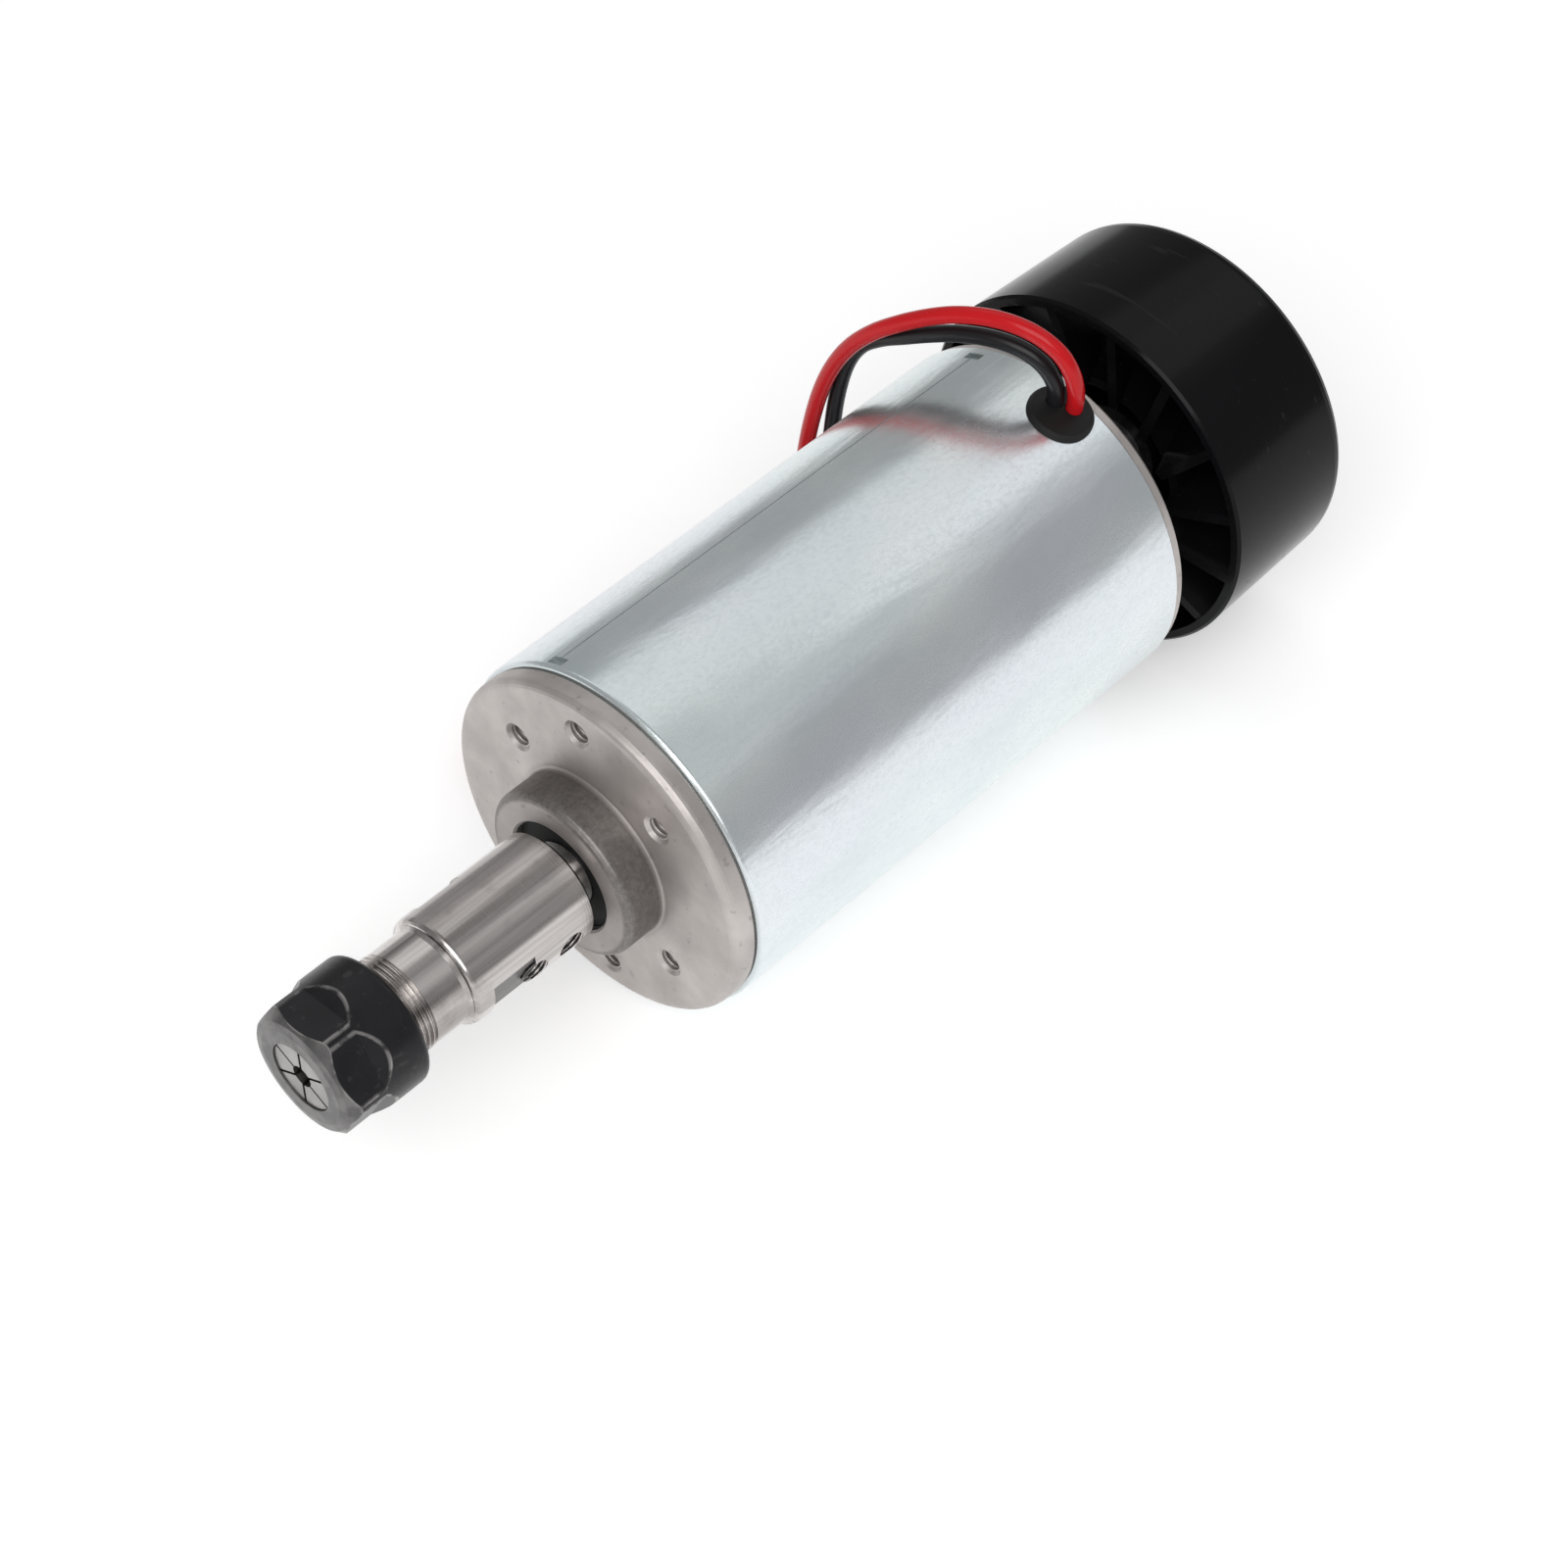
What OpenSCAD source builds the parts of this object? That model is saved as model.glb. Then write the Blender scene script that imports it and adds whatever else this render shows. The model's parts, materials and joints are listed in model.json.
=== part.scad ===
// Air-cooled spindle motor with a collet chuck, axis along X, chuck toward -X.
// x = 0 is the mounting face; angles run from +Z toward -Y.

/* [Can] */
// Outside diameter of the drawn steel can
can_dia = 52; // [51:0.5:56]
// Length of the can from rim to rim
can_len = 83; // [80:1:95]
// Sheet thickness of the can
can_wall = 1.5; // [1.2:0.1:1.8]

/* [Front cap] */
// Height of the mounting face above the can's front rim
cap_proud = 3.5; // [3:0.1:4.5]
// Diameter of the locating boss
boss_dia = 25; // [24:0.5:27]
// Height of the locating boss
boss_len = 6.2; // [5:0.1:7.5]
// Pitch circle of the four tapped mounting holes
bolt_pcd = 35; // [34:0.5:36]
// Pitch circle of the two outer tapped holes
outer_pcd = 41; // [40:0.5:41.5]
// Tapping drill of all six holes
bolt_drill = 3.3; // [2.5:0.1:3.4]

/* [Chuck] */
// Diameter of the chuck holder's shank
shank_dia = 16; // [15.5:0.1:16.2]
// Length of the shank from its rear end to the shoulder
shank_len = 20.4; // [19.6:0.2:28]
// Width across the two wrench flats
shank_flats = 14; // [13:0.1:15]
// Neck showing between shoulder and nut
neck_show = 8.9; // [8:0.1:12]
// Outside diameter of the neck thread
thread_dia = 14; // [14:0.05:14.4]
// Pitch of the neck thread, which also sets the collet's travel
thread_pitch = 0.75; // [0.5:0.05:1]
// Outside diameter of the collet nut
nut_dia = 19; // [18.8:0.1:21]
// Width of the nut across its flats
nut_flats = 17; // [16.6:0.1:17.4]
// Length of the nut
nut_len = 13; // [13:0.1:15]
// Tool shank that the collet holds
tool_dia = 3.175; // [2.35:0.005:4]

/* [Fan] */
// Outside diameter of the fan ring at its front
fan_dia = 56; // [54:0.2:62]
// Length of the fan ring
fan_len = 25; // [22:0.5:28]
// Open gap between rear cap and fan
fan_gap = 9; // [6:0.1:12]
// Number of fan blades
fan_blades = 15; // [11:1:17]

/* [Rotor] */
// Diameter of the motor shaft
shaft_dia = 5; // [4.8:0.05:5.2]
// Length of the laminated core
core_len = 38; // [34:0.5:40]
// Air gap between core and magnets
air_gap = 0.7; // [0.5:0.05:0.9]
// Number of armature slots
slots = 12; // [8:1:13]

/* [Leads] */
// Diameter of each lead over its insulation
lead_dia = 2.4; // [2.2:0.1:2.5]

/* [Hidden] */
$fn = 72;
eps = 0.01;
slip = 0.05;
can_r = can_dia / 2;
can_in = can_r - can_wall;
rim_x = cap_proud;
can_end = rim_x + can_len;
boss_r = boss_dia / 2;
boss_x = -boss_len;

// bearings: [front face, width, outside radius, ball circle radius, ball radius, land]
front_brg = [boss_x + 1.2, 6, 9.5, 6, 1.75, 1.3];
rear_brg = [can_end - 5.5, 5, 8, 5.3, 1.25, 1.2];
balls = 7;
seal_r = 8.35;
seal_x = front_brg[0] + 0.15;
seal_t = 0.5;

// front cap
cap_plate = 6;
cap_bore = 8.3;
cap_spigot = 7;
cap_edge = can_r - 0.6;
boss_fillet = 0.4;
boss_round = 1.2;
bolt_angles = [-48, 42, 132, 222];
outer_angles = [-5, 175];

// chuck
shank_r = shank_dia / 2;
thread_r = thread_dia / 2;
thread_deep = 0.42;
holder_back = boss_x - 1.4;
shoulder_x = holder_back - shank_len;
nut_back = shoulder_x - neck_show;
nut_front = nut_back - nut_len;
flat_front = shoulder_x + 3;
flat_back = flat_front + 7;
flat_angle = 110;
screw_angle = 106;
screw_xs = [holder_back - 4, holder_back - 10.2];
screw_r = 2;
shaft_front = shoulder_x + 6;
shaft_r = shaft_dia / 2;
collet_front = nut_front + 0.25;
collet_len = 18;
collet_r = 5.75;
collet_nose = 4.9;
collet_head = 2.2;
collet_neck = 4;
collet_slope = tan(8);
collet_tail = collet_r - (collet_len - collet_neck) * collet_slope;
nose_cone = (collet_r - collet_nose) / tan(30);
slit_w = 0.4;
holder_front = collet_front + 4.3;
neck_relief = 5.6;
nut_hex_x = nut_front + 5.5;
nut_run_x = nut_hex_x + 2.1;
nut_corner = 27.5;
nut_face = 7;
nut_cone = [1.3, 0.25];

// rear cap
rear_rim = 1.8;
rear_edge = can_r - 0.36;
rear_end = can_end + rear_rim;
rear_skirt = 7;
skirt_t = 2.2;
rear_hub = [9, 1.2];
hub_flare = 1;
seat_wall = 2.5;
post_r_out = 3;
washer_x = rear_brg[0] + rear_brg[1];
washer_t = 0.4;
rear_plate = 3;

// rotor and brushes
magnet_t = 5;
magnet_in = can_in - magnet_t;
core_r = magnet_in - air_gap;
slot_deep = core_r * 0.52;
slot_mouth = 1.6;
slot_r = min(2.9, 3.14159 * (core_r - slot_deep) / slots - 0.75);
insul_t = 1;
end_turn = 7;
com_r = 7;
com_x = rear_brg[0] - 11.6;
com_len = 9.4;
com_core = 5.2;
brush_x = com_x + 5;
brush_w = 5;
brush_t = 6;
brush_len = 8.5;
brush_lift = 0.1;
brush_travel = 2.5;
guide_wall = 0.5;
guide_in = 9;
guide_out = 22;
card_t = 2;
card_x = brush_x - brush_w / 2 - slip - guide_wall - card_t;
card_r = can_in - 0.3;
winding_gap = 0.85;
core_end = card_x - winding_gap - end_turn - insul_t;
core_x = core_end - core_len;
magnet_x = core_x - 3;
magnet_len = core_len + 6;
post_r = 19.5;
spring_turns = 6;
spring_r = 1.8;
spring_wire = 0.2;

// fan
fan_x = rear_end + fan_gap;
fan_end = fan_x + fan_len;
fan_r = fan_dia / 2;
fan_draft = 0.7;
fan_wall = 1.5;
fan_round = 2.5;
hub_r = 14;
hub_wall = 1.5;
hub_floor = 2;
hub_x = fan_x + 4;
hub_end = fan_end - 1.5;
bush_r = 5;
bush_x = fan_x + 7;
bush_wall = 2;
blade_in = [1, 2.5];
shaft_end = hub_end - 3;
blade_t = 1.4;
blade_pitch = 24;
floor_z = -fan_r;

// leads: exits in the grommet, then the route of each, x from the can's rear edge
lead_r = lead_dia / 2;
grommet_x = can_end - 4.3;
grommet_angle = 15;
grommet_r = 4.7;
grommet_high = 0.9;
hole_d = 6.4;
red_start = [[-2.7, -7.1, 23.4], [-2.8, -7.9, 26.2]];
black_start = [[-3.9, -5.1, 23.9], [-4.0, -5.5, 26.8]];
red_air = [[-3.5, -8.4, 29.6], [-4.0, -7.9, 32.6], [-4.6, -6.4, 35.2], [-5.5, -4.0, 37.1],
    [-6.4, -1.2, 38.0], [-7.3, 2.2, 38.0], [-8.2, 5.6, 37.3], [-9.1, 9.2, 35.9],
    [-10.0, 13.0, 33.7], [-10.9, 16.8, 31.0], [-11.6, 20.4, 27.9], [-12.2, 23.6, 24.2],
    [-12.6, 26.3, 19.6], [-12.8, 28.5, 14.0], [-12.9, 30.2, 7.4], [-12.9, 31.5, 0.2],
    [-12.1, 32.8, -7.0], [-11.1, 35.2, -13.5], [-10.9, 38.6, -19.0], [-11.9, 41.6, -23.4],
    [-14.5, 43.2, -25.8], [-18.5, 43.6, -26.2], [-25.5, 43.6, -26.2]];
black_air = [[-4.3, -5.4, 29.6], [-4.9, -4.1, 32.0], [-5.7, -1.9, 33.6], [-6.6, 1.0, 34.2],
    [-7.6, 4.6, 33.9], [-8.4, 8.6, 32.6], [-9.0, 12.5, 30.6], [-9.5, 16.5, 28.2],
    [-9.7, 20.5, 25.6], [-9.9, 24.0, 22.4], [-10.2, 26.3, 18.0], [-10.6, 27.6, 12.0],
    [-10.9, 28.3, 5.0], [-11.2, 28.6, -2.2], [-11.1, 28.6, -9.2], [-10.6, 28.6, -15.4],
    [-11.3, 28.4, -20.9], [-13.7, 28.2, -24.7], [-17.5, 28.0, -26.1], [-25.5, 28.0, -26.2]];
hank_x = can_end - 63.5;
hank_run = 38;
hank_bend = 6;
hank_ys = [37.6, 22];
tie_w = 3;
tie_t = 0.6;
hank_z = floor_z + tie_t;
hank_high = 2 * lead_dia;
tail_len = 9;
bare_len = 6;
tie_at = [25, 11];
tie_xs = [for (d = tie_at) hank_x + d];

// turned shape from points [radius, x]
module lathe(points) rotate([0, 90, 0]) rotate_extrude() polygon(points);

module rod(x0, x1, r) translate([x0, 0, 0]) rotate([0, 90, 0]) cylinder(h = x1 - x0, r = r);

module ring(x0, x1, r_out, r_in) {
    lathe([[r_in, x0], [r_out, x0], [r_out, x1], [r_in, x1]]);
}

// child stands on the axis at x, turned to an angle, its Z pointing outward
module at(x, angle) rotate([angle, 0, 0]) translate([x, 0, 0]) children();

// child lies along X at a radius and an angle
module round_at(r, angle) rotate([angle, 0, 0]) translate([0, 0, r]) children();

function arc(cr, cx, r, from, to, steps = 5) =
    [for (i = [0:steps]) let (a = from + (to - from) * i / steps) [cr + r * cos(a), cx + r * sin(a)]];

// sideways direction at each point of a path, carried along it without twist
function carried(dirs, side, i = 0) = i == len(dirs) ? [] :
    let (s = side - (side * dirs[i]) * dirs[i], u = s / norm(s)) concat([u], carried(dirs, u, i + 1));

// wire swept along points with a given number of sides
module wire(path, r, sides) {
    n = len(path);
    dirs = [for (i = [0:n - 1]) let (d = path[min(i + 1, n - 1)] - path[max(i - 1, 0)]) d / norm(d)];
    across = carried(dirs, cross(abs(dirs[0].z) < 0.9 ? [0, 0, 1] : [1, 0, 0], dirs[0]));
    points = [for (i = [0:n - 1]) for (k = [0:sides - 1]) let (a = 360 * k / sides)
        path[i] + r * (cos(a) * across[i] + sin(a) * cross(dirs[i], across[i]))];
    skin = [for (i = [0:n - 2]) for (k = [0:sides - 1])
        let (a = i * sides + k, b = i * sides + (k + 1) % sides)
        [a, a + sides, b + sides, b]];
    caps = [[for (k = [0:sides - 1]) k], [for (k = [sides - 1:-1:0]) (n - 1) * sides + k]];
    polyhedron(points = points, faces = concat(skin, caps), convexity = 6);
}

module motor_can() color("Silver") difference() {
    lathe(concat([[can_in, rim_x], [can_r - 0.9, rim_x]],
        arc(can_r - 0.7, rim_x + 0.7, 0.7, -90, 0),
        [[can_r, can_end - 0.4], [can_r - 0.4, can_end], [can_in, can_end]]));
    at(grommet_x, grommet_angle) cylinder(h = can_r + 2, d = hole_d);
    // rolled seam with its two stake marks
    round_at(can_r - 0.12, -23) translate([rim_x + 1, -0.12, 0]) cube([can_len - 4, 0.24, 1]);
    for (x = [rim_x + 0.9, can_end - 3.1])
        round_at(can_r - 0.6, -23) translate([x, -1.4, 0]) cube([1.4, 2.8, 1]);
}

module front_cap() color("Gray") difference() {
    union() {
        lathe(concat([[cap_bore, 0], [cap_edge - 1.6, 0]],
            arc(cap_edge - 1.5, 1.5, 1.5, -80, 0),
            [[cap_edge, rim_x - 0.35], [cap_edge - 0.5, rim_x - 0.35], [cap_edge - 0.5, rim_x],
             [can_in, rim_x], [can_in, rim_x + cap_spigot], [can_in - 2, rim_x + cap_spigot],
             [can_in - 2, cap_plate], [cap_bore, cap_plate]]));
        lathe(concat([[cap_bore, eps], [boss_r + boss_fillet, eps]],
            arc(boss_r + boss_fillet, -boss_fillet, boss_fillet, 90, 180, 3),
            arc(boss_r - boss_round, boss_x + boss_round, boss_round, 0, -90),
            [[cap_bore + 0.3, boss_x], [cap_bore, boss_x + 0.3]]));
    }
    // bearing seat, open inward
    rod(front_brg[0], cap_plate + 1, front_brg[2]);
    for (a = bolt_angles) round_at(bolt_pcd / 2, a) tapped_hole();
    for (a = outer_angles) round_at(outer_pcd / 2, a) tapped_hole();
}

module tapped_hole() {
    rod(-1, cap_plate + 1, bolt_drill / 2);
    lathe([[0, -0.5], [bolt_drill / 2 + 1, -0.5], [bolt_drill / 2, 0.5], [0, 0.5]]);
}

module rear_cap() color("DarkGray") difference() {
    seat_r = rear_brg[2];
    union() {
        lathe([[shaft_r + 1.2, washer_x + washer_t], [shaft_r + 1.2, rear_end + rear_hub[1]],
            [rear_hub[0], rear_end + rear_hub[1]], [rear_hub[0] + hub_flare, rear_end],
            [rear_edge - 0.7, rear_end], [rear_edge, rear_end - 0.7], [rear_edge, can_end],
            [can_in, can_end], [can_in, can_end - rear_skirt],
            [can_in - skirt_t, can_end - rear_skirt],
            [can_in - skirt_t, rear_end - rear_plate], [seat_r + seat_wall, rear_end - rear_plate],
            [seat_r + seat_wall, rear_brg[0] - 0.3], [seat_r, rear_brg[0] - 0.3],
            [seat_r, washer_x + washer_t]]);
        for (a = [90, 270]) round_at(post_r, a) rod(card_x + card_t, rear_end - 1, post_r_out);
    }
    at(grommet_x, grommet_angle) translate([0, 0, can_in - 5]) cylinder(h = 10, r = hole_d / 2 + 1.3);
    for (a = [90, 270]) round_at(post_r, a) rod(card_x, card_x + card_t + 7.5, 1.25);
}

// flange with a bevelled edge outside, waist in the can's hole, flange inside
module grommet() color([0.08, 0.08, 0.08]) difference() {
    union() {
        intersection() {
            at(grommet_x, grommet_angle) rotate_extrude() polygon([[0, 0], [grommet_r, 0],
                [grommet_r, can_r], [grommet_r - grommet_high, can_r + 1.5 * grommet_high],
                [0, can_r + 1.5 * grommet_high]]);
            ring(grommet_x - 6, can_end, can_r + grommet_high, can_r);
        }
        intersection() {
            at(grommet_x, grommet_angle) cylinder(h = can_r + 2, d = hole_d);
            ring(grommet_x - 6, grommet_x + 6, can_r + eps, can_in - eps);
        }
        intersection() {
            at(grommet_x, grommet_angle) cylinder(h = can_r + 2, d = hole_d + 1.6);
            ring(grommet_x - 6, grommet_x + 6, can_in, can_in - grommet_high);
        }
    }
    for (s = [red_start, black_start]) translate([can_end, 0, 0]) lead_hole(s);
}

module lead_hole(s) {
    d = s[1] - s[0];
    translate(s[0] - d) rotate([0, acos(d.z / norm(d)), atan2(d.y, d.x)])
        cylinder(h = 3.2 * norm(d), d = lead_dia + 2 * slip);
}

module magnet(side) color([0.22, 0.22, 0.24]) intersection() {
    ring(magnet_x, magnet_x + magnet_len, can_in, magnet_in);
    translate([magnet_x, 0, 0]) rotate([side * 90, 0, 0]) rotate([0, 90, 0]) linear_extrude(magnet_len)
        polygon([[0, 0], [-2 * can_r * cos(70), 2 * can_r * sin(70)], [-2 * can_r, 2 * can_r],
            [-2 * can_r, -2 * can_r], [-2 * can_r * cos(70), -2 * can_r * sin(70)]]);
}
module magnet_near() magnet(1);
module magnet_far() magnet(-1);

module magnet_clip(angle) color("Silver") intersection() {
    ring(magnet_x + 2, magnet_x + magnet_len - 2, can_in, can_in - 1);
    w = (can_in - 1) * sin(20) - 0.2;
    rotate([angle, 0, 0]) translate([magnet_x, -w, 0]) cube([magnet_len, 2 * w, can_r]);
}
module magnet_clip_top() magnet_clip(0);
module magnet_clip_bottom() magnet_clip(180);

// one ring of a bearing b, with its ball groove
module race(b, r_out, r_in) color("LightGray") difference() {
    ring(b[0], b[0] + b[1], r_out, r_in);
    rotate([0, 90, 0]) translate([0, 0, b[0] + b[1] / 2]) rotate_extrude()
        translate([b[3], 0]) circle(r = b[4] + slip, $fn = 24);
}

module outer_race(b) race(b, b[2], b[3] + b[5]);
module inner_race(b) race(b, b[3] - b[5], shaft_r);

module ball_cage(b) color("Gainsboro") union() {
    middle = b[0] + b[1] / 2;
    ring(middle - b[4] + 0.3, middle + b[4] - 0.3, b[3] + 0.35, b[3] - 0.35);
    for (i = [0:balls - 1]) at(middle, 360 * i / balls) translate([0, 0, b[3]]) sphere(r = b[4], $fn = 24);
}

module front_outer_ring() difference() {
    outer_race(front_brg);
    rod(front_brg[0] - 1, seal_x + seal_t, seal_r);
}
module front_inner_ring() inner_race(front_brg);
module front_balls() ball_cage(front_brg);
module front_seal() color([0.08, 0.08, 0.08])
    ring(seal_x, seal_x + seal_t, seal_r, front_brg[3] - front_brg[5] + 0.1);
module rear_outer_ring() outer_race(rear_brg);
module rear_inner_ring() inner_race(rear_brg);
module rear_balls() ball_cage(rear_brg);

module preload_washer() color("SteelBlue")
    ring(washer_x, washer_x + washer_t, rear_brg[2] - 0.1, rear_brg[2] - 1.6);

module brush_card() color([0.45, 0.25, 0.12]) difference() {
    ring(card_x, card_x + card_t, card_r, com_r + 4);
    for (a = [90, 270]) round_at(post_r, a) rod(card_x - 1, card_x + card_t + 1, 1.35);
    for (a = [45:90:315]) round_at(post_r, a) rod(card_x - 1, card_x + card_t + 1, 3);
}

module card_screw(angle) color("Silver") round_at(post_r, angle) difference() {
    union() {
        rod(card_x - 1.6, card_x, 2.3);
        rod(card_x - eps, card_x + card_t + 6, 1.25);
    }
    for (a = [0, 90]) rotate([a, 0, 0]) translate([card_x - 2, -1.3, -0.3]) cube([1.3, 2.6, 0.6]);
}
module card_screw_near() card_screw(90);
module card_screw_far() card_screw(270);

// brass guide of one brush, open toward the commutator
module brush_guide(angle) color("Gold") rotate([angle, 0, 0]) difference() {
    translate([brush_x, 0, (guide_in + guide_out) / 2]) cube([brush_w + 2 * (slip + guide_wall),
        brush_t + 2 * (slip + guide_wall), guide_out - guide_in], center = true);
    translate([brush_x, 0, (guide_in + guide_out) / 2 - guide_wall]) cube([brush_w + 2 * slip,
        brush_t + 2 * slip, guide_out - guide_in], center = true);
}
module brush_guide_top() brush_guide(0);
module brush_guide_bottom() brush_guide(180);

module brush(angle) color([0.2, 0.2, 0.2]) difference() {
    rotate([angle, 0, 0]) translate([brush_x - brush_w / 2, -brush_t / 2, com_r - 1])
        cube([brush_w, brush_t, brush_len + 1]);
    rod(brush_x - brush_w, brush_x + brush_w, com_r + brush_lift);
}
module brush_top() brush(0);
module brush_bottom() brush(180);

module brush_spring(angle) color("Silver") {
    low = com_r + brush_len + spring_wire;
    high = guide_out - guide_wall - spring_wire;
    steps = 12;
    wire([for (i = [0:spring_turns * steps]) let (a = 360 * i / steps,
        h = low + (high - low) * i / (spring_turns * steps), s = angle == 0 ? 1 : -1)
        [brush_x + spring_r * cos(a), spring_r * sin(a), s * h]], spring_wire, 6);
}
module brush_spring_top() brush_spring(0);
module brush_spring_bottom() brush_spring(180);

module rotor_shaft() color("Silver") lathe([[0, shaft_front], [shaft_r - 0.4, shaft_front],
    [shaft_r, shaft_front + 0.4], [shaft_r, shaft_end - 0.4], [shaft_r - 0.4, shaft_end], [0, shaft_end]]);

module slot_cut(x0, x1, spread) for (i = [0:slots - 1]) rotate([360 * (i + 0.5) / slots, 0, 0]) {
    translate([x0, -slot_mouth / 2 - spread, slot_deep + slot_r])
        cube([x1 - x0, slot_mouth + 2 * spread, core_r]);
    translate([0, 0, slot_deep + slot_r]) rod(x0, x1, slot_r + spread);
}

module armature_core() color([0.35, 0.35, 0.38]) difference() {
    ring(core_x, core_end, core_r, shaft_r);
    slot_cut(core_x - 1, core_end + 1, 0);
}

module slot_insulator(x) color([0.1, 0.35, 0.2]) difference() {
    ring(x, x + insul_t, core_r - 0.3, shaft_r);
    slot_cut(x - 1, x + insul_t + 1, 0);
}
module slot_insulator_front() slot_insulator(core_x - insul_t);
module slot_insulator_rear() slot_insulator(core_end);

module end_turns(x, s) {
    r_out = core_r - 1.4;
    r_in = shaft_r + 2.5;
    lathe([[r_in, x], [r_out, x], [r_out, x + s * (end_turn - 3)], [r_out - 1.2, x + s * (end_turn - 1)],
        [r_out - 3.5, x + s * end_turn], [r_in + 2, x + s * end_turn], [r_in, x + s * (end_turn - 2)]]);
}

module armature_winding() color([0.72, 0.36, 0.12]) union() {
    end_turns(core_x - insul_t, -1);
    end_turns(core_end + insul_t, 1);
    for (i = [0:slots - 1]) rotate([360 * (i + 0.5) / slots, 0, 0]) translate([0, 0, slot_deep + slot_r])
        rod(core_x - insul_t - eps, core_end + insul_t + eps, slot_r - 0.1);
}

module commutator_base() color([0.3, 0.18, 0.1]) ring(com_x - 1.5, com_x + com_len + 1, com_core, shaft_r);

module commutator_bars() color([0.8, 0.45, 0.2]) difference() {
    union() {
        ring(com_x, com_x + com_len, com_r, com_core);
        ring(com_x, com_x + 1.6, com_r + 1, com_core);
    }
    for (i = [0:slots - 1]) rotate([360 * i / slots, 0, 0])
        translate([com_x - 1, -0.25, com_r - 0.9]) cube([com_len + 2, 0.5, 4]);
}

module shaft_collar() color("Gold")
    ring(front_brg[0] + front_brg[1], core_x - insul_t - end_turn - 0.4, shaft_r + 1.1, shaft_r);

// fan ring with draft and a round rear edge, pitched blades, hub cup open toward the motor
module fan() color([0.09, 0.09, 0.1]) {
    rear_r = fan_r - fan_draft;
    lathe(concat([[fan_r - fan_wall, fan_x], [fan_r - 0.4, fan_x], [fan_r, fan_x + 0.4]],
        arc(rear_r - fan_round, fan_end - fan_round, fan_round, 0, 90),
        [[rear_r - fan_wall - 1.6, fan_end], [rear_r - fan_wall, fan_end - 1.6],
         [rear_r - fan_wall, fan_end - 4]]));
    lathe([[hub_r - hub_wall, hub_x], [hub_r, hub_x], [hub_r, hub_end - 1.5], [hub_r - 1.5, hub_end],
        [bush_r, hub_end], [bush_r, bush_x], [bush_r + bush_wall, bush_x],
        [bush_r + bush_wall, hub_end - hub_floor], [hub_r - hub_wall, hub_end - hub_floor]]);
    intersection() {
        for (i = [0:fan_blades - 1]) rotate([17 + 360 * i / fan_blades, 0, 0])
            translate([(fan_x + fan_end) / 2, 0, 0]) rotate([0, 0, blade_pitch])
            translate([-fan_len, -blade_t / 2, hub_r - 1]) cube([2 * fan_len, blade_t, fan_r]);
        lathe([[hub_r - 0.6, fan_x + blade_in[0]], [fan_r - fan_wall + 0.2, fan_x + blade_in[0]],
            [rear_r - fan_wall + 0.2, fan_end - blade_in[1]], [hub_r - 0.6, fan_end - blade_in[1]]]);
    }
}

module fan_bush() color("Gold") ring(bush_x, hub_end - hub_floor, bush_r, shaft_r);

// chuck holder: shank, shoulder, relieved neck with its thread, taper seat and shaft bore
module chuck_holder() color([0.75, 0.75, 0.77]) difference() {
    lathe(concat([[0, holder_back], [shank_r - 0.4, holder_back], [shank_r, holder_back - 0.4]],
        arc(shank_r - 1, shoulder_x + 1, 1, 0, -90),
        [[thread_r + 0.4, shoulder_x], [thread_r - 0.1, shoulder_x - 0.5],
         [thread_r - 0.1, shoulder_x - neck_relief]],
        [for (i = [0:ceil((shoulder_x - neck_relief - holder_front) / thread_pitch) - 2])
            for (k = [[thread_deep, 0.1], [thread_deep, 0.25], [0, 0.6], [0, 0.75]])
            [thread_r - k[0], shoulder_x - neck_relief - thread_pitch * (i + k[1] / 0.75)]],
        [[thread_r - 0.4, holder_front], [0, holder_front]]));
    // taper seat and clearance bore
    lathe([[0, holder_front - 1], [collet_r + 0.06 + collet_slope, holder_front - 1],
        [collet_tail + 0.06, collet_front + collet_len], [collet_tail, collet_front + collet_len + 0.5],
        [collet_tail, shoulder_x + 0.5], [0, shoulder_x + 1.5]]);
    rod(shaft_front - 0.4, holder_back + 1, shaft_r + 0.01);
    lathe([[0, holder_back + 1], [shaft_r + 1, holder_back + 1], [shaft_r, holder_back - 0.6], [0, holder_back - 0.6]]);
    for (s = [-1, 1]) rotate([flat_angle, 0, 0]) translate([flat_front, -shank_r,
        s > 0 ? shank_flats / 2 : -shank_flats / 2 - 5]) cube([flat_back - flat_front, shank_dia, 5]);
    for (x = screw_xs) at(x, screw_angle) cylinder(h = shank_r + 1, r = screw_r + 0.02);
}

module set_screw(x) color([0.12, 0.12, 0.13]) difference() {
    at(x, screw_angle) translate([0, 0, shaft_r]) {
        cylinder(h = 0.8, r1 = 1.2, r2 = screw_r);
        translate([0, 0, 0.8]) cylinder(h = 3.4, r = screw_r);
    }
    at(x, screw_angle) for (a = [0, 60, 120]) rotate([0, 0, a])
        translate([-1, -1 / sqrt(3), shaft_r + 2.4]) cube([2, 2 / sqrt(3), 3]);
}
module set_screw_rear() set_screw(screw_xs[0]);
module set_screw_front() set_screw(screw_xs[1]);

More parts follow.
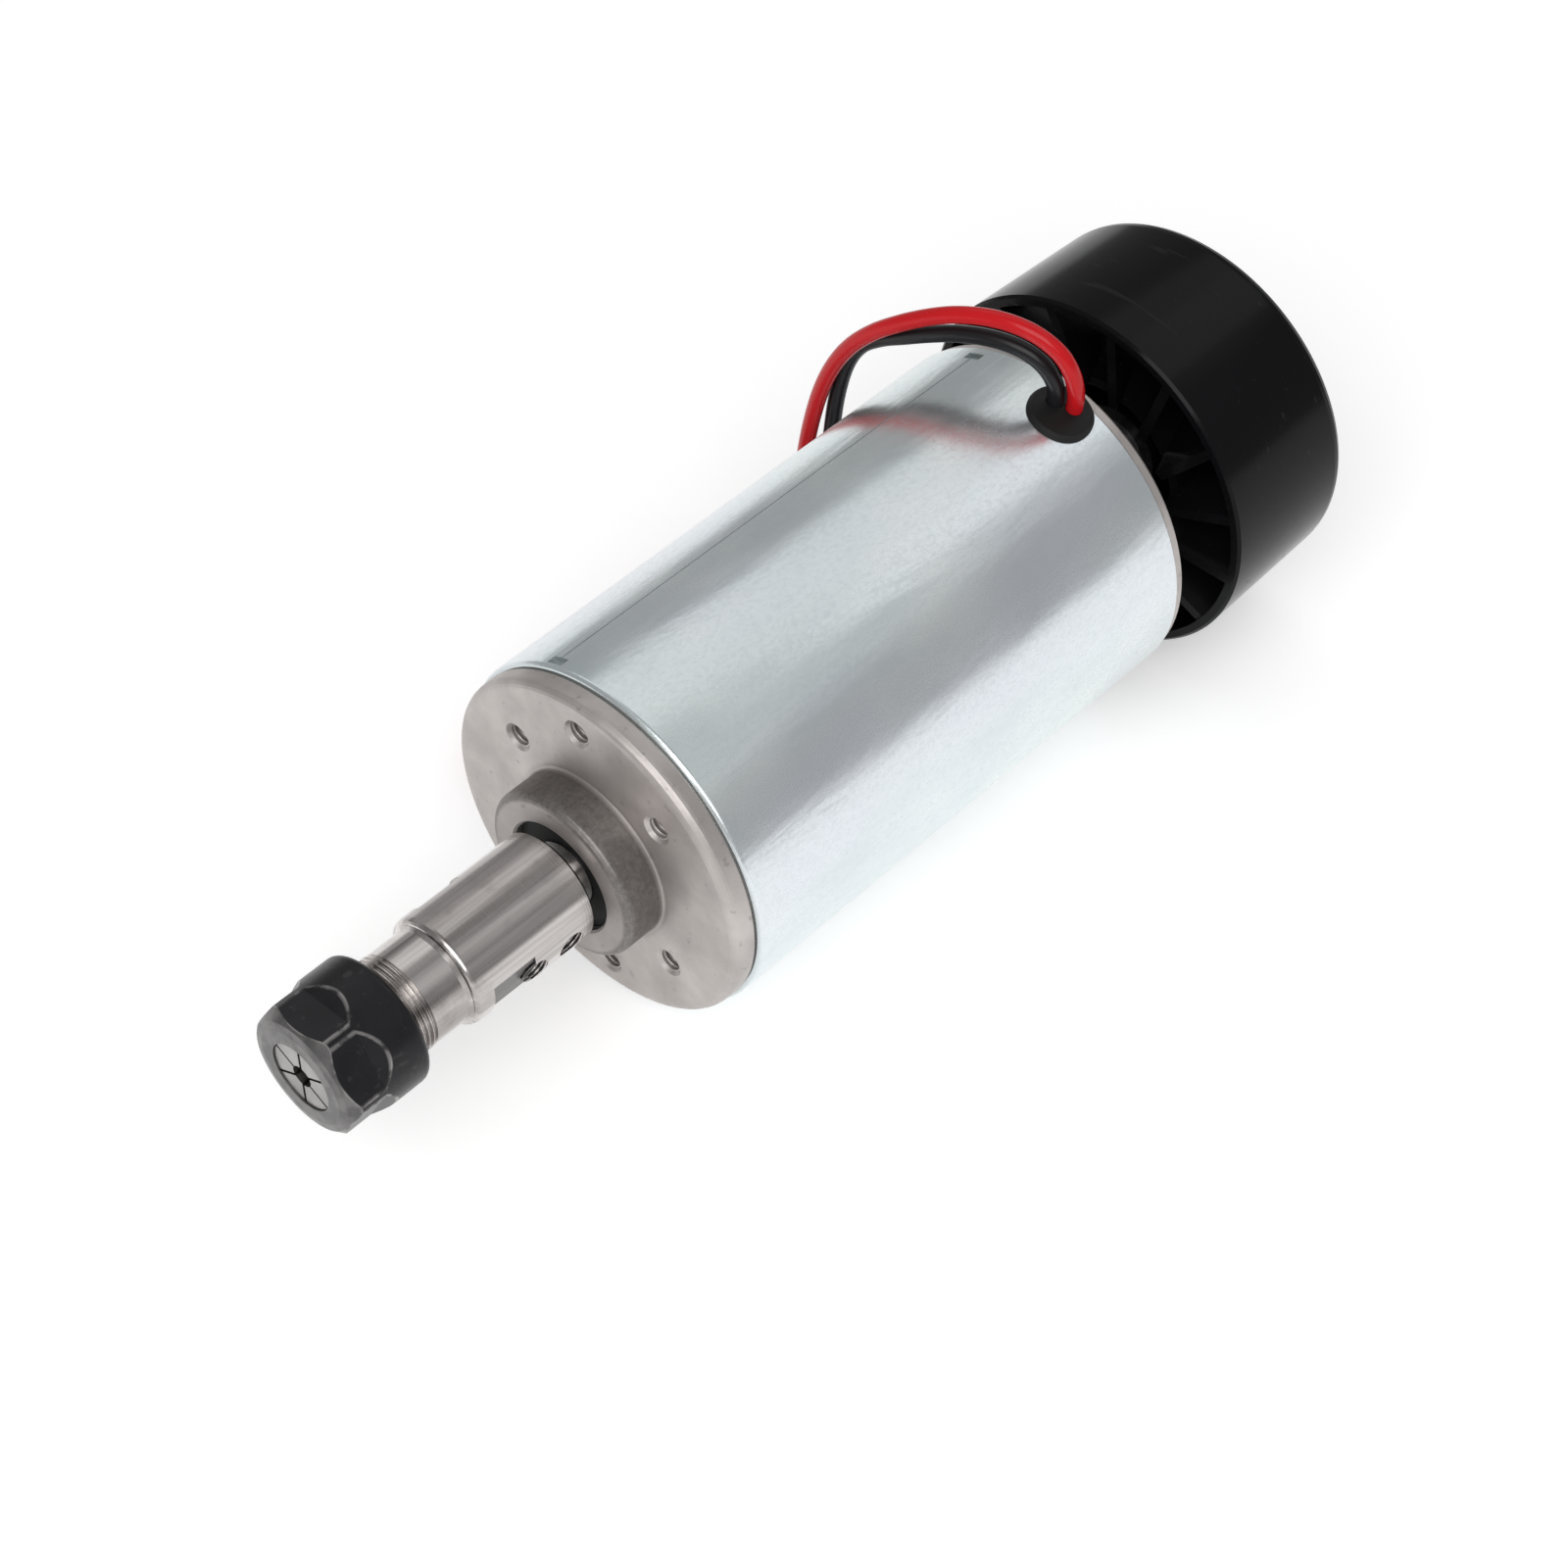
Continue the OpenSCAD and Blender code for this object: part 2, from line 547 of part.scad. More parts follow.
// spring collet: nose cone, snap groove, long taper, slits from both ends
module collet() color([0.8, 0.8, 0.82]) difference() {
    lathe([[0, collet_front], [collet_nose, collet_front], [collet_r, collet_front + nose_cone],
        [collet_r, collet_front + collet_head], [collet_nose, collet_front + collet_head],
        [collet_nose, collet_front + collet_neck], [collet_r, collet_front + collet_neck],
        [collet_tail, collet_front + collet_len], [0, collet_front + collet_len]]);
    rod(collet_front - 1, collet_front + collet_len + 1, tool_dia / 2);
    rod(collet_front + 11, collet_front + collet_len + 1, tool_dia / 2 + 0.8);
    for (a = [0:60:120]) rotate([a, 0, 0]) {
        translate([collet_front - 1, -slit_w / 2, -collet_r - 1]) cube([14, slit_w, 2 * collet_r + 2]);
        rotate([30, 0, 0]) translate([collet_front + 5.5, -slit_w / 2, -collet_r - 1])
            cube([collet_len, slit_w, 2 * collet_r + 2]);
    }
}

// nut: coned nose, six flats that run out into a plain collar, snap lip inside
module collet_nut() color([0.16, 0.16, 0.18]) difference() {
    nut_r = nut_dia / 2;
    lathe(concat([[collet_nose + 0.1, nut_front], [nut_face, nut_front],
        [nut_r - nut_cone[0], nut_front + nut_cone[1]], [nut_r, nut_front + nut_cone[0] + nut_cone[1]]],
        arc(nut_r - 1, nut_back - 1, 1, 0, 90),
        [[thread_r + 0.4, nut_back],
         [thread_r + slip, nut_back - 0.4], [thread_r + slip, holder_front + 0.2],
         [thread_r + 0.3, holder_front], [thread_r + 0.3, collet_front + 3.7],
         [collet_nose + 0.15, collet_front + 3.7], [collet_nose + 0.15, collet_front + collet_head + 0.1],
         [collet_r + 0.1, collet_front + collet_head + 0.1], [collet_r + 0.1, collet_front + nose_cone],
         [collet_nose + 0.1, collet_front]]));
    for (i = [0:5]) rotate([nut_corner + 30 + 60 * i, 0, 0]) rotate([90, 0, 0])
        linear_extrude(2 * nut_dia, center = true) polygon([[nut_front - 1, nut_flats / 2],
            [nut_hex_x, nut_flats / 2], [nut_run_x, nut_dia / 2 + 0.05],
            [nut_run_x, nut_dia], [nut_front - 1, nut_dia]]);
}

module lead(route) translate([can_end, 0, 0]) wire(route, lead_r, 8);
module lead_red() color([0.75, 0.05, 0.05]) lead(concat(red_start, red_air));
module lead_black() color([0.05, 0.05, 0.05]) lead(concat(black_start, black_air));

// folded rest of a lead: a long ring two turns high, with its tail
module hank(y) {
    translate([hank_x, y, hank_z]) difference() {
        long_ring(hank_bend + lead_r);
        translate([0, 0, -1]) scale([1, 1, 2]) long_ring(hank_bend - lead_r);
    }
    translate([hank_x + hank_run, y - hank_bend, hank_z + lead_r]) rotate([0, 90, 0])
        cylinder(h = tail_len, r = lead_r);
}
module long_ring(r) linear_extrude(hank_high) union() {
    circle(r = r);
    translate([hank_run, 0]) circle(r = r);
    translate([0, -r]) square([hank_run, 2 * r]);
}
module hank_red() color([0.75, 0.05, 0.05]) hank(hank_ys[0]);
module hank_black() color([0.05, 0.05, 0.05]) hank(hank_ys[1]);

module bare_end(y) color("Silver") translate([hank_x + hank_run + tail_len, y - hank_bend,
    hank_z + lead_r]) rotate([0, 90, 0]) cylinder(h = bare_len, r = lead_r / 2);
module bare_end_red() bare_end(hank_ys[0]);
module bare_end_black() bare_end(hank_ys[1]);

module tie(x, y) color([0.1, 0.1, 0.1]) {
    w = 2 * (hank_bend + lead_r);
    translate([x, y - w / 2, hank_z]) difference() {
        translate([0, -tie_t, -tie_t]) cube([tie_w, w + 2 * tie_t, hank_high + 2 * tie_t]);
        translate([-1, 0, 0]) cube([tie_w + 2, w, hank_high]);
    }
}
module tie_red() tie(tie_xs[0], hank_ys[0]);
module tie_black() tie(tie_xs[1], hank_ys[1]);

motor_can();
front_cap();
rear_cap();
grommet();
magnet_near();
magnet_far();
magnet_clip_top();
magnet_clip_bottom();
front_outer_ring();
front_inner_ring();
front_balls();
front_seal();
rear_outer_ring();
rear_inner_ring();
rear_balls();
preload_washer();
brush_card();
card_screw_near();
card_screw_far();
brush_guide_top();
brush_guide_bottom();
brush_top();
brush_bottom();
brush_spring_top();
brush_spring_bottom();
rotor_shaft();
armature_core();
slot_insulator_front();
slot_insulator_rear();
armature_winding();
commutator_base();
commutator_bars();
shaft_collar();
fan();
fan_bush();
chuck_holder();
set_screw_rear();
set_screw_front();
collet();
collet_nut();
lead_red();
lead_black();
hank_red();
hank_black();
bare_end_red();
bare_end_black();
tie_red();
tie_black();
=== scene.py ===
import bpy
import json
import math
from mathutils import Matrix, Vector


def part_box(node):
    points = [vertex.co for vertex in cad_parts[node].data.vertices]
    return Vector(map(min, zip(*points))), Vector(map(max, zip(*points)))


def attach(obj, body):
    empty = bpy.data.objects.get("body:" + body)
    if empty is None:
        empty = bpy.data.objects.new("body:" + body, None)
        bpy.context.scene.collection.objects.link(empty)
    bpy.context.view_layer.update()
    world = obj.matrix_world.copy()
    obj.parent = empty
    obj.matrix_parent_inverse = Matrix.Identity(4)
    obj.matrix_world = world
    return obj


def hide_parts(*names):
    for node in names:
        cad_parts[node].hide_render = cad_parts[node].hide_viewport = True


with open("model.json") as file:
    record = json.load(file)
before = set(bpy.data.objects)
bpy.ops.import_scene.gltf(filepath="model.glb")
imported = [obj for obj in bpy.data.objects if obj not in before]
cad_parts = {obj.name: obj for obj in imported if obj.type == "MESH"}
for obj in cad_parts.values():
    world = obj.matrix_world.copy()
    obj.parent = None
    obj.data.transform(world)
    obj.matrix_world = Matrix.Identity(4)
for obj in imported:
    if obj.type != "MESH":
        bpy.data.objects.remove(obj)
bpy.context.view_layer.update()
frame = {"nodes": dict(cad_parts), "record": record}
nodes = frame["nodes"]
mm = 0.001
print("stage: frame loaded")

# camera: same place and lens as the photograph, lengths in mm
viewpoint = {"place": (-197.29, -218.58, 337.45), "pan": 43.188, "tilt": -47.897, "lens": 80.24,
             "sensor": 36, "clip": (0.01, 50)}


def makeCamera(facts):
    pan = math.radians(facts["pan"])
    tilt = math.radians(facts["tilt"])
    look = Vector((math.cos(tilt) * math.cos(pan), math.cos(tilt) * math.sin(pan), math.sin(tilt)))
    data = bpy.data.cameras.new("viewCamera")
    data.lens = facts["lens"]
    data.sensor_width = facts["sensor"]
    data.clip_start, data.clip_end = facts["clip"]
    camera = bpy.data.objects.new("viewCamera", data)
    camera.location = Vector(facts["place"]) * mm
    camera.rotation_euler = look.to_track_quat("-Z", "Y").to_euler()
    bpy.context.scene.collection.objects.link(camera)
    bpy.context.scene.camera = camera


makeCamera(viewpoint)
print("stage: camera")


def meshPiece(name, points, faces, smooth=True):
    mesh = bpy.data.meshes.new(name)
    mesh.from_pydata([tuple(p) for p in points], [], faces)
    mesh.update()
    piece = bpy.data.objects.new(name, mesh)
    bpy.context.scene.collection.objects.link(piece)
    for face in mesh.polygons:
        face.use_smooth = smooth
    return piece


# one tree makes every helix: thread ridges in the holes and the strands of the bare ends;
# perTurn counts the points of a turn, round the sides of the wire
helixSteps = {"perTurn": 18, "round": 6}


def helixTree():
    tree = bpy.data.node_groups.new("helixRows", "GeometryNodeTree")
    sockets = {}
    for title, kind in (("Geometry", "Geometry"), ("Radius", "Float"), ("Wire", "Float"),
                        ("Height", "Float"), ("Turns", "Float"), ("Finish", "Material")):
        sockets[title] = tree.interface.new_socket(title, in_out="INPUT", socket_type="NodeSocket" + kind)
    tree.interface.new_socket("Geometry", in_out="OUTPUT", socket_type="NodeSocketGeometry")

    def add(kind, settings, inputs):
        node = tree.nodes.new(kind)
        for key, value in settings.items():
            setattr(node, key, value)
        for key, value in inputs.items():
            if isinstance(value, bpy.types.NodeSocket):
                tree.links.new(value, node.inputs[key])
            else:
                node.inputs[key].default_value = value
        return node

    given = add("NodeGroupInput", {}, {}).outputs
    helix = add("GeometryNodeCurveSpiral", {}, {
        "Resolution": helixSteps["perTurn"], "Rotations": given["Turns"], "Height": given["Height"],
        "Start Radius": given["Radius"], "End Radius": given["Radius"]})
    profile = add("GeometryNodeCurvePrimitiveCircle", {}, {
        "Resolution": helixSteps["round"], "Radius": given["Wire"]})
    wire = add("GeometryNodeCurveToMesh", {}, {
        "Curve": helix.outputs[0], "Profile Curve": profile.outputs[0], "Fill Caps": True})
    turn = add("GeometryNodeInputNamedAttribute", {"data_type": "FLOAT_VECTOR"}, {"Name": "turn"})
    aim = add("FunctionNodeEulerToRotation", {}, {"Euler": turn.outputs["Attribute"]})
    rows = add("GeometryNodeInstanceOnPoints", {}, {
        "Points": given["Geometry"], "Instance": wire.outputs[0], "Rotation": aim.outputs[0]})
    plain = add("GeometryNodeRealizeInstances", {}, {"Geometry": rows.outputs[0]})
    done = add("GeometryNodeSetMaterial", {}, {"Geometry": plain.outputs[0], "Material": given["Finish"]})
    add("NodeGroupOutput", {}, {"Geometry": done.outputs[0]})
    return tree, sockets


helixRows, helixSockets = helixTree()


def helixPiece(name, facts, places, finish):
    # places: (point in mm, Euler turn) of each helix
    base = meshPiece(name + "Points", [Vector(point) * mm for point, turn in places], [])
    turns = base.data.attributes.new("turn", "FLOAT_VECTOR", "POINT")
    for k, (point, turn) in enumerate(places):
        turns.data[k].vector = turn
    rows = base.modifiers.new("rows", "NODES")
    rows.node_group = helixRows
    for title, value in (("Radius", facts["radius"] * mm), ("Wire", facts["wire"] * mm),
                         ("Height", facts["height"] * mm), ("Turns", facts["turns"]), ("Finish", finish)):
        rows[helixSockets[title].identifier] = value
    depsgraph = bpy.context.evaluated_depsgraph_get()
    mesh = bpy.data.meshes.new_from_object(base.evaluated_get(depsgraph))
    base.modifiers.remove(rows)
    bpy.data.objects.remove(base)
    for face in mesh.polygons:
        face.use_smooth = True
    piece = bpy.data.objects.new(name, mesh)
    bpy.context.scene.collection.objects.link(piece)
    return piece


# shader maths: one socket of a material's tree; arithmetic on it adds Math nodes
class Signal:
    def __init__(self, bench, socket):
        self.bench = bench
        self.socket = socket

    def join(self, operation, first, second=0.0, clamp=False):
        settings = {"operation": operation, "use_clamp": clamp}
        return self.bench.make("ShaderNodeMath", settings, {0: first, 1: second})

    def __add__(self, other):
        return self.join("ADD", self, other)

    def __radd__(self, other):
        return self.join("ADD", other, self)

    def __sub__(self, other):
        return self.join("SUBTRACT", self, other)

    def __rsub__(self, other):
        return self.join("SUBTRACT", other, self)

    def __mul__(self, other):
        return self.join("MULTIPLY", self, other)

    def __rmul__(self, other):
        return self.join("MULTIPLY", other, self)

    def __truediv__(self, other):
        return self.join("DIVIDE", self, other)

    def __rtruediv__(self, other):
        return self.join("DIVIDE", other, self)

    def __pow__(self, other):
        return self.join("POWER", self, other)

    def __abs__(self):
        return self.join("ABSOLUTE", self)

    def clipped(self):
        return self.join("ADD", self, 0.0, True)

    def largest(self, other):
        return self.join("MAXIMUM", self, other)

    def near(self, width):
        # 1 where the value is 0, falling to 0 at the width
        return (1 - abs(self) / width).clipped()

    def below(self, limit, width):
        # 1 under the limit, 0 past it, with a soft step
        return ((limit - self) / width + 0.5).clipped()


class Bench:
    # a material's node tree and the one way to add to it
    def __init__(self, name):
        self.material = bpy.data.materials.new(name)
        self.material.use_nodes = True
        self.tree = self.material.node_tree
        self.shader = self.tree.nodes["Principled BSDF"]
        self.place = self.make("ShaderNodeTexCoord", {}, {}, "Object")

    def make(self, kind, settings, inputs, output=0):
        node = self.tree.nodes.new(kind)
        for key, value in settings.items():
            setattr(node, key, value)
        for key, value in inputs.items():
            self.put(node.inputs[key], value)
        return Signal(self, node.outputs[output])

    def put(self, socket, value):
        if isinstance(value, Signal):
            self.tree.links.new(value.socket, socket)
        else:
            socket.default_value = value

    def axes(self):
        split = self.make("ShaderNodeSeparateXYZ", {}, {0: self.place})
        outputs = split.socket.node.outputs
        return [Signal(self, outputs[k]) for k in range(3)]

    def noise(self, scale, detail=3, stretch=(1, 1, 1), rough=0.55, bend=0.0):
        where = self.make("ShaderNodeMapping", {}, {"Vector": self.place, "Scale": stretch})
        return self.make("ShaderNodeTexNoise", {}, {"Vector": where, "Scale": scale, "Detail": detail,
                                                    "Roughness": rough, "Distortion": bend})

    def sharpen(self, value, low, high):
        # stretches the band between low and high to 0..1
        return ((value - low) / (high - low)).clipped()

    def patches(self, noise, band):
        # one band of a noise, stretched to 0..1
        return self.sharpen(self.noise(*noise), *band)

    def blend(self, factor, first, second):
        # first and second: a plain colour or another blend
        first, second = [c if isinstance(c, Signal) else rgb(*c) for c in (first, second)]
        return self.make("ShaderNodeMix", {"data_type": "RGBA"}, {0: factor, 6: first, 7: second}, 2)

    def bump(self, height, strength, distance, normal=None):
        inputs = {"Height": height, "Strength": strength, "Distance": distance}
        if normal:
            inputs["Normal"] = normal
        return self.make("ShaderNodeBump", {}, inputs)

    def finish(self, **sockets):
        for key, value in sockets.items():
            self.put(self.shader.inputs[key.replace("_", " ")], value)
        return self.material


def rgb(r, g, b):
    return (r, g, b, 1)


def radiusOf(y, z):
    return (y * y + z * z) ** 0.5


# in these dictionaries a noise is (scale, detail, stretch, roughness, bend), a band is the part of a
# noise that is stretched to 0..1, and a bump is (strength, depth in m)

# drawn and zinc plated can: cool mottled sheet, rolling grain, tinted passivation, grey cut rims,
# painted shade in the stake marks and the seam
canLook = {
    "cool": (0.70, 0.775, 0.79), "pale": (0.84, 0.895, 0.895), "violet": (0.74, 0.77, 0.83),
    "speck": (0.46, 0.52, 0.54), "cutRim": (0.46, 0.49, 0.48), "scratch": (0.93, 0.93, 0.92),
    "paintedRecessShade": (0.20, 0.21, 0.20), "metal": 0.82, "rough": 0.19, "mottle": 0.07,
    "cloudNoise": (70, 4, (0.5, 1, 1)), "cloudBand": (0.36, 0.64),
    "tintNoise": (30, 2, (0.4, 1, 1)), "tintBand": (0.44, 0.66),
    "grainNoise": (1900, 3, (0.6, 1, 1), 0.6), "speckBand": (0.42, 0.68),
    "drawnNoise": (420, 4, (0.04, 1, 1)), "sweepNoise": (110, 3, (0.3, 1, 1), 0.5, 0.6),
    "scratchNoise": (700, 2, (0.04, 1, 1)), "scratchBand": (0.71, 0.74),
    "sweepBump": (0.14, 0.0012), "grainBump": (0.13, 0.00010),
    "radius": 26.0 * mm, "edge": 0.4 * mm, "dent": 0.05 * mm, "frontRim": 0.75 * mm,
    "rearRim": 0.45 * mm, "blur": 0.05 * mm,
}


def zincSheet(facts):
    bench = Bench("zincSheet")
    x, y, z = bench.axes()
    low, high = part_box("motor_can")
    cloud = bench.patches(facts["cloudNoise"], facts["cloudBand"])
    tint = bench.patches(facts["tintNoise"], facts["tintBand"])
    scratch = bench.patches(facts["scratchNoise"], facts["scratchBand"])
    grain = bench.noise(*facts["grainNoise"])
    speckle = bench.sharpen(grain, *facts["speckBand"])
    tone = bench.blend(cloud, facts["cool"], facts["pale"])
    tone = bench.blend(tint * 0.7, tone, facts["violet"])
    tone = bench.blend(speckle * 0.12, tone, facts["speck"])
    rim = (x - low[0]).near(facts["edge"]).largest((high[0] - x).near(facts["edge"]))
    tone = bench.blend(rim * (cloud * 0.5 + 0.3), tone, facts["cutRim"])
    tone = bench.blend(scratch * 0.15, tone, facts["scratch"])
    behind = (low[0] + facts["frontRim"] - x).below(0.0, facts["blur"])
    within = behind * x.below(high[0] - facts["rearRim"], facts["blur"])
    sunk = radiusOf(y, z).below(facts["radius"] - facts["dent"], 0.8 * facts["blur"]) * within
    # painted shade: the sunk stake marks and the seam are darkened in the colour
    tone = bench.blend(sunk * 0.45, tone, facts["paintedRecessShade"])
    rough = facts["rough"] + cloud * facts["mottle"] + (speckle + scratch) * 0.06 + sunk * 0.3
    soft = bench.bump(bench.noise(*facts["sweepNoise"]), *facts["sweepBump"])
    drawn = bench.noise(*facts["drawnNoise"])
    fine = bench.bump(grain * 0.6 + drawn * 0.4, *facts["grainBump"], soft)
    return bench.finish(Base_Color=tone, Metallic=facts["metal"], Roughness=rough, Normal=fine)


# die cast caps: matt grainy skin with pits; on the front cap a boss darkened by painted shade, turned rings
# on its face and painted shade in the corner at its foot, where depths count forward from the mounting face
castLook = {
    "low": (0.43, 0.398, 0.382), "high": (0.60, 0.56, 0.54), "pit": (0.16, 0.15, 0.14),
    "paintedFootShade": (0.12, 0.11, 0.10), "paintedBossShade": (0.13, 0.121, 0.114), "metal": 0.85, "rough": 0.40,
    "cloudNoise": (130, 5), "cloudBand": (0.3, 0.7), "grainNoise": (1700, 4, (1, 1, 1), 0.75),
    "pitNoise": (620, 3), "pitBand": (0.64, 0.72), "ringScale": 5200.0,
    "sideNoise": (1300, 4, (1, 1, 1), 0.7), "sideBand": (0.35, 0.65), "bump": (0.30, 0.00010),
    "boss": 12.5 * mm, "bossDepth": 0.6 * mm, "bossFade": 0.4 * mm, "bossRim": 1.0 * mm,
    "rimFade": 0.5 * mm, "ringDepth": 0.5 * mm, "footDepth": 0.3 * mm, "footRun": 0.9 * mm,
    "footSpread": 1.1 * mm, "blur": 0.3 * mm,
}


def castAlloy(name, facts, turned=True):
    bench = Bench(name)
    x, y, z = bench.axes()
    cloud = bench.patches(facts["cloudNoise"], facts["cloudBand"])
    pits = bench.patches(facts["pitNoise"], facts["pitBand"])
    grain = bench.noise(*facts["grainNoise"])
    tone = bench.blend(cloud, facts["low"], facts["high"])
    tone = bench.blend(pits * 0.35, tone, facts["pit"])
    rough = facts["rough"] + grain * 0.14
    height = grain * 0.7 - pits * 0.4
    if turned:
        r = radiusOf(y, z)
        # painted shade in the corner at the boss's foot
        foot = (r - facts["boss"]).near(facts["footSpread"])
        foot = foot * (x + facts["footDepth"]).near(facts["footRun"])
        tone = bench.blend(foot * 0.5, tone, facts["paintedFootShade"])
        # painted shade: the whole boss is darkened, its outer side most, with coarse grain on that side
        boss = (x + facts["bossDepth"]).below(0.0, facts["bossFade"])
        boss = boss * r.below(facts["boss"] + facts["blur"], facts["blur"])
        side = boss * (facts["boss"] - facts["bossRim"] - r).below(0.0, facts["rimFade"])
        coarse = bench.patches(facts["sideNoise"], facts["sideBand"])
        tone = bench.blend(boss * 0.3 + side * (coarse * 0.2 + 0.4), tone, facts["paintedBossShade"])
        rings = bench.make("ShaderNodeTexNoise", {"noise_dimensions": "1D"},
                           {"W": r, "Scale": facts["ringScale"]})
        face = (x + facts["ringDepth"]).below(0.0, facts["blur"])
        height = height + rings * face * 0.9
    return bench.finish(Base_Color=tone, Metallic=facts["metal"], Roughness=rough,
                        Normal=bench.bump(height, *facts["bump"]))


# ground steel of the chuck holder: fine rings round the axis, dark handling streaks along it,
# and milled wrench flats that are duller, with painted shade darkening them
holderLook = {
    "low": (0.36, 0.335, 0.325), "high": (0.68, 0.65, 0.635), "stain": (0.18, 0.165, 0.155),
    "milledAndShaded": (0.13, 0.125, 0.12), "rough": 0.16, "ringNoise": (4200, 2, (1, 0.003, 0.003)),
    "streakNoise": (340, 4, (0.03, 1, 1)), "streakBand": (0.38, 0.60),
    "stainNoise": (150, 4), "stainBand": (0.56, 0.74),
    "hairNoise": (520, 2, (0.02, 1, 1)), "hairBand": (0.66, 0.72), "bump": (0.30, 0.00003),
    "shank": 8.0 * mm, "flatFront": -25.0 * mm, "flatBack": -18.0 * mm, "dip": 0.03 * mm,
    "blur": 0.05 * mm,
}


def groundSteel(facts):
    bench = Bench("groundSteel")
    x, y, z = bench.axes()
    rings = bench.noise(*facts["ringNoise"])
    streaks = bench.patches(facts["streakNoise"], facts["streakBand"])
    stain = bench.patches(facts["stainNoise"], facts["stainBand"])
    hair = bench.patches(facts["hairNoise"], facts["hairBand"])
    tone = bench.blend(streaks, facts["low"], facts["high"])
    tone = bench.blend((stain * 0.4 + hair * 0.55).clipped(), tone, facts["stain"])
    along = (facts["flatFront"] - x).below(0.0, facts["blur"]) * x.below(facts["flatBack"], facts["blur"])
    milledAndShaded = along * radiusOf(y, z).below(facts["shank"] - facts["dip"], facts["dip"])
    # painted shade: the milled flats are darkened in the colour, standing in for the dark floor they
    # reflect
    tone = bench.blend(milledAndShaded * 0.85, tone, facts["milledAndShaded"])
    rough = facts["rough"] + rings * 0.10 + stain * 0.10 + milledAndShaded * 0.22
    return bench.finish(Base_Color=tone, Metallic=1.0, Roughness=rough,
                        Normal=bench.bump(rings, *facts["bump"]))


# blackened nut: bright along the edges of its flats, partly wear and partly a painted highlight where
# bevels would catch the light, rubbed grey on the nose; the corner angles run from +Z toward -Y
nutLook = {
    "dark": (0.010, 0.010, 0.011), "lifted": (0.026, 0.026, 0.029), "bare": (0.30, 0.29, 0.285),
    "metal": 0.4, "rough": 0.28, "gloss": 0.3, "patchNoise": (420, 4), "patchBand": (0.42, 0.60),
    "scuffNoise": (500, 4, (1, 1, 1), 0.6, 1.2), "scuffBand": (0.60, 0.68),
    "cloudNoise": (260, 4), "grainNoise": (2600, 3), "bump": (0.15, 0.00005),
    "flats": 8.5 * mm, "outside": 9.5 * mm, "hex": 5.5 * mm, "corners": (57.5, 117.5, 177.5),
    "coneRadius": 8.2 * mm, "coneStart": 0.25 * mm, "wear": 0.17 * mm, "nose": 0.3 * mm,
    "blur": 0.05 * mm,
}


def blackNut(facts):
    bench = Bench("blackNut")
    x, y, z = bench.axes()
    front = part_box("collet_nut")[0][0]
    r = radiusOf(y, z)
    reach = None
    for corner in facts["corners"]:
        a = math.radians(corner)
        across = abs(z * math.cos(a) - y * math.sin(a))
        reach = across if reach is None else reach.largest(across)
    # the bright edge strips below are partly wear and partly a painted highlight, standing in for light
    # caught by bevels; the nose and the scuffs are wear
    slope = (x - (front + facts["hex"])).largest(0.0) * 0.5 + facts["flats"]
    fromCone = x - (front + facts["coneStart"]) - (r - facts["coneRadius"])
    flat = (slope - reach).near(facts["wear"])
    outside = (facts["outside"] - r).near(facts["wear"])
    cone = fromCone.near(facts["wear"])
    edge = (flat * outside).largest((flat * cone).largest(outside * cone))
    patchy = bench.patches(facts["patchNoise"], facts["patchBand"])
    scuff = bench.patches(facts["scuffNoise"], facts["scuffBand"])
    nose = fromCone.below(facts["blur"], 1.2 * facts["blur"])
    nose = nose.largest(x.below(front + facts["nose"], facts["blur"]))
    bare = (edge * (patchy * 0.9 + 0.1) * 1.6).clipped().largest(nose * (patchy * 0.22 + 0.32))
    cloud = bench.noise(*facts["cloudNoise"])
    tone = bench.blend(cloud, facts["dark"], facts["lifted"])
    tone = bench.blend(scuff * 0.07, tone, facts["bare"])
    tone = bench.blend(bare, tone, facts["bare"])
    metal = bare * 0.55 + facts["metal"]
    rough = cloud * 0.10 - bare * 0.03 + facts["rough"]
    normal = bench.bump(bench.noise(*facts["grainNoise"]), *facts["bump"])
    return bench.finish(Base_Color=tone, Metallic=metal, Roughness=rough, Normal=normal,
                        Specular_IOR_Level=facts["gloss"])


# turned metal: marks run round the axis, so they change along X only
turnedLook = {"ringNoise": (3500, 2, (1, 0.004, 0.004)), "cloudNoise": (180, 4), "cloudBand": (0.3, 0.7),
              "bump": (0.35, 0.00003)}


def turnedMetal(name, low, high, rough, metal=1.0):
    bench = Bench(name)
    rings = bench.noise(*turnedLook["ringNoise"])
    cloud = bench.noise(*turnedLook["cloudNoise"])
    tone = bench.blend(bench.sharpen(cloud, *turnedLook["cloudBand"]), low, high)
    return bench.finish(Base_Color=tone, Metallic=metal, Roughness=rough + rings * 0.1 + cloud * 0.08,
                        Normal=bench.bump(rings, *turnedLook["bump"]))


# moulded fan: near black, smooth, faint flow marks, hairline scuffs and dust
fanLook = {
    "low": (0.003, 0.003, 0.0035), "high": (0.007, 0.007, 0.008), "dust": (0.35, 0.35, 0.36),
    "rough": 0.13, "gloss": 0.11, "flowNoise": (60, 3, (0.3, 1, 1), 0.5, 0.8),
    "hairNoise": (700, 2, (1, 0.08, 0.6)), "hairBand": (0.68, 0.72),
    "dustNoise": (2300, 2), "dustBand": (0.74, 0.78), "grainNoise": (1500, 2), "bump": (0.05, 0.0001),
}


